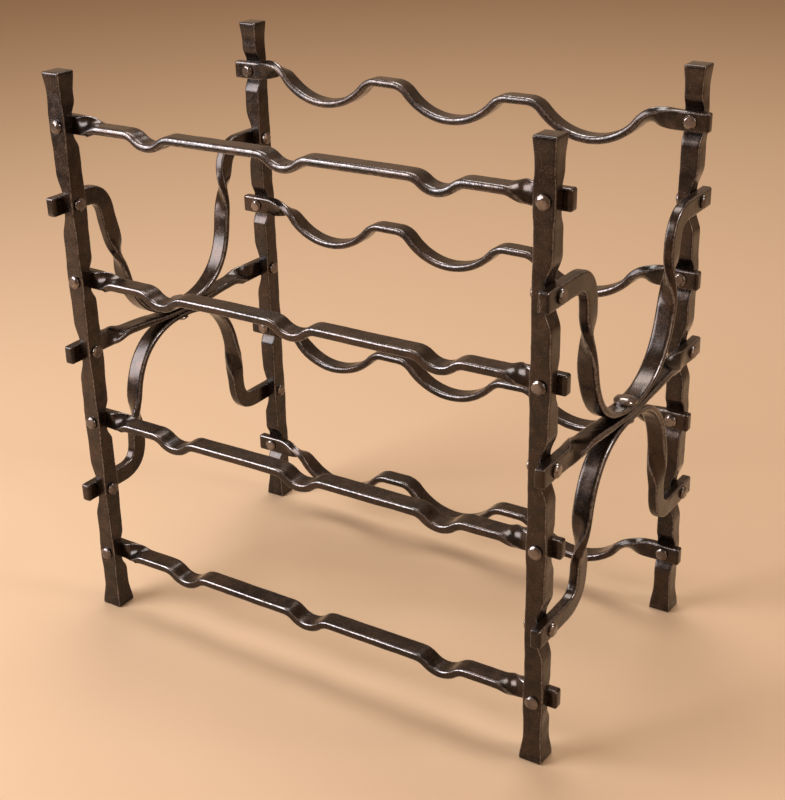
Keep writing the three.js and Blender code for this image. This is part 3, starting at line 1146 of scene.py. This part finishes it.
@dataclass
class WineRack:
    """The whole rack: posts, rails, bows, cross bars and rivets."""

    LEVELS = 4

    sizes: RackSizes = field(default_factory=RackSizes)
    bar_finish: ForgedFinish = field(default_factory=lambda: ForgedFinish("forged_bar_steel"))
    # Each finish paints its edges lighter, partly as rubbed wear and partly as a painted highlight.
    post_finish: ForgedFinish = field(default_factory=lambda: ForgedFinish(
        "forged_post_steel", rubbed_share=0.4, speck_share=0.5, dent_depth=0.4, face_grain=0.8,
    ))
    rivet_finish: ForgedFinish = field(default_factory=lambda: ForgedFinish(
        "rivet_steel",
        scale_dark=(0.095, 0.078, 0.07),
        scale_brown=(0.24, 0.195, 0.17),
        rubbed_share=0.5,
        roughness=(0.12, 0.24),
        metallic=0.9,
        dent_depth=0.1,
    ))

    def build(self) -> None:
        """Builds and dresses every piece."""
        post_material = self.post_finish.material()
        bar_material = self.bar_finish.material()
        rivet_material = self.rivet_finish.material()
        for side in Side:
            for end in End:
                self._fit(Post(side, end, self.sizes).build(), post_material, "forged_steel")
            for bar in self.side_bars(side):
                self._fit(bar.build(), bar_material, "forged_steel")
        for end in End:
            for level in range(self.LEVELS):
                self._fit(Rail(end, level, self.sizes).build(), bar_material, "forged_steel")
        for rivet in self.rivets():
            self._fit(rivet.build(), rivet_material, "rivet_steel")

    def side_bars(self, side: Side) -> list[Union[Bow, CrossBar]]:
        """Lists one side's three bars."""
        if side is Side.LEFT:
            front = Leg(
                corner_from=84.0, corner_pull=68.0, corner_to=67.0,
                twist_below_tab=31.0, twist_above_crossing=44.0,
            )
            rear = Leg(
                corner_from=82.0, corner_pull=64.5, corner_to=63.0, leg_to=56.5,
                twist_below_tab=14.0, twist_above_crossing=60.0,
            )
        else:
            front = Leg()
            rear = Leg(corner_from=81.0, corner_pull=63.0, corner_to=62.0, leg_to=60.0)
        return [
            Bow(side, Tier.UPPER, self.sizes, front, rear),
            Bow(side, Tier.LOWER, self.sizes),
            CrossBar(side, self.sizes),
        ]

    def rivets(self) -> list[Rivet]:
        """Lists every rivet."""
        made = []
        for side in Side:
            made.append(self._centre_rivet(side))
            for end in End:
                made += self._side_rivets(side, end)
                made += self._rail_rivets(side, end)
        return made

    def _centre_rivet(self, side: Side) -> Rivet:
        """Sizes the rivet through a side's three stacked bars."""
        x, z, half = side.value * self.sizes.side_x, self.sizes.crossing_z, 1.5 * self.sizes.layer
        return Rivet(
            f"centre_rivet_{side.word}", Axis.Z, (x, 0.0, z - half), (x, 0.0, z + half),
            low_head=Head(radius=6.2, flats=7),
            high_head=Head(radius=7.6, height=4.2, flats=7, tilt=34.0),
            sides=40,
            seed=100 + side.value,
        )

    def _side_rivets(self, side: Side, end: End) -> list[Rivet]:
        """Lists the rivets that hold the side bars to one post, from the lowest up."""
        sizes = self.sizes
        y = end.value * sizes.post_y
        faces = (sizes.post_x - sizes.post_half, sizes.post_x + sizes.tab_face)
        low, high = sorted(side.value * face for face in faces)
        return [
            Rivet(
                f"rivet_{side.word}_{word}_{end.word}", Axis.X, (low, y, z), (high, y, z),
                seed=rivet_seed(200, level, side, end),
            )
            for level, (word, z) in enumerate(zip(("lower", "middle", "upper"), sizes.side_z))
        ]

    def _rail_rivets(self, side: Side, end: End) -> list[Rivet]:
        """Lists the rivets that hold the rails to one post, from the lowest up."""
        sizes = self.sizes
        x = side.value * sizes.post_x
        faces = (sizes.post_y + sizes.post_half, sizes.post_y - sizes.tab_face)
        low, high = sorted(end.value * face for face in faces)
        return [
            Rivet(
                f"rivet_{end.rail}_rail_{level + 1}_{side.word}", Axis.Y, (x, low, z), (x, high, z),
                seed=rivet_seed(300, level, side, end),
            )
            for level, z in enumerate(end.rail_heights(sizes))
        ]

    @staticmethod
    def _fit(piece: bpy.types.Object, material: bpy.types.Material, slot: str) -> None:
        """Dresses a piece and hangs it on the rack in place of the solid of the same name.

        Args:
            piece: the piece, named after the solid that it stands for.
            material: its material.
            slot: not used.
        """
        piece.data.materials.append(material)
        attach(piece, "root")
        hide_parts(piece.name.removesuffix(FORGED))
        log.info("%s: %d faces", piece.name, len(piece.data.polygons))


# ---------------------------------------------------------------- floor, lights and camera


@dataclass(frozen=True)
class Softbox:
    """A lamp that faces the rack. Its place and sizes are in metres, its angles run from the rack's front."""

    name: str
    azimuth: float
    elevation: float
    distance: float
    size: tuple[float, float]
    watts: float
    colour: Colour
    aim_height: float = 0.2

    def build(self) -> None:
        """Hangs the lamp."""
        light = bpy.data.lights.new(self.name, "AREA")
        light.shape = "RECTANGLE"
        light.size, light.size_y = self.size
        light.energy = self.watts
        light.color = self.colour
        lamp = bpy.data.objects.new(self.name, light)
        back = direction(math.radians(self.azimuth), math.radians(self.elevation))
        lamp.location = Vector((0.0, 0.0, self.aim_height)) + back * self.distance
        lamp.rotation_mode = "QUATERNION"
        lamp.rotation_quaternion = back.to_track_quat("Z", "Y")
        bpy.context.scene.collection.objects.link(lamp)


LAMPS = (
    Softbox("key_softbox", -43.0, 27.0, 1.25, (0.75, 1.0), 28.0, (0.92, 0.93, 1.0)),
    Softbox("top_softbox", -150.0, 66.0, 2.4, (1.2, 1.2), 44.0, (1.0, 0.98, 0.97)),
    Softbox("side_softbox", 100.0, 38.0, 1.8, (0.5, 0.5), 11.0, (1.0, 0.97, 1.0)),
    Softbox("warm_fill", 75.0, 18.0, 2.2, (1.4, 1.0), 6.0, (1.0, 0.82, 0.64)),
)


@dataclass
class Studio:
    """The pale floor, the soft lights and the camera, in metres. The camera turn's last angle is its roll."""

    floor_half: float = 9.0
    floor_finish: FloorFinish = field(default_factory=FloorFinish)
    surround: Colour = (0.90, 0.58, 0.37)
    surround_strength: float = 0.46
    lamps: tuple[Softbox, ...] = LAMPS
    camera_place: tuple[float, float, float] = (0.50903, -0.76152, 0.58192)
    camera_turn: tuple[float, float, float] = (33.338, 24.366, -1.324)
    lens: float = 64.31
    sensor: float = 36.0
    clip: Span = (0.05, 50.0)

    def build(self) -> None:
        """Sets up everything round the rack."""
        self._floor()
        self._surround()
        for lamp in self.lamps:
            lamp.build()
        self._camera()

    def _floor(self) -> None:
        """Lays the floor."""
        half = self.floor_half
        corners = [(-half, -half, 0), (half, -half, 0), (half, half, 0), (-half, half, 0)]
        mesh = bpy.data.meshes.new("floor")
        mesh.from_pydata(corners, [], [(0, 1, 2, 3)])
        floor = bpy.data.objects.new("floor", mesh)
        floor.data.materials.append(self.floor_finish.material())
        bpy.context.scene.collection.objects.link(floor)

    def _surround(self) -> None:
        """Lights the scene evenly from all round."""
        world = bpy.data.worlds.new("studio")
        world.use_nodes = True
        background = world.node_tree.nodes["Background"]
        background.inputs["Color"].default_value = (*self.surround, 1.0)
        background.inputs["Strength"].default_value = self.surround_strength
        bpy.context.scene.world = world

    def _camera(self) -> None:
        """Places the camera."""
        azimuth, elevation, roll = (math.radians(angle) for angle in self.camera_turn)
        back = direction(azimuth, elevation)
        level = (-back).cross(Vector((0.0, 0.0, 1.0))).normalized()
        upright = level.cross(-back)
        right = level * math.cos(roll) + upright * math.sin(roll)
        up = upright * math.cos(roll) - level * math.sin(roll)
        data = bpy.data.cameras.new("camera")
        data.sensor_fit = "AUTO"
        data.sensor_width = self.sensor
        data.lens = self.lens
        data.clip_start, data.clip_end = self.clip
        camera = bpy.data.objects.new("camera", data)
        turn = Matrix((right, up, back)).transposed().to_4x4()
        camera.matrix_world = Matrix.Translation(self.camera_place) @ turn
        bpy.context.scene.collection.objects.link(camera)
        bpy.context.scene.camera = camera


def main() -> None:
    """Builds the rack and its studio."""
    logging.basicConfig(level=logging.INFO, format="%(name)s: %(message)s")
    WineRack().build()
    Studio().build()
    bpy.context.scene.view_settings.view_transform = "Standard"


if __name__ == "__main__":
    main()
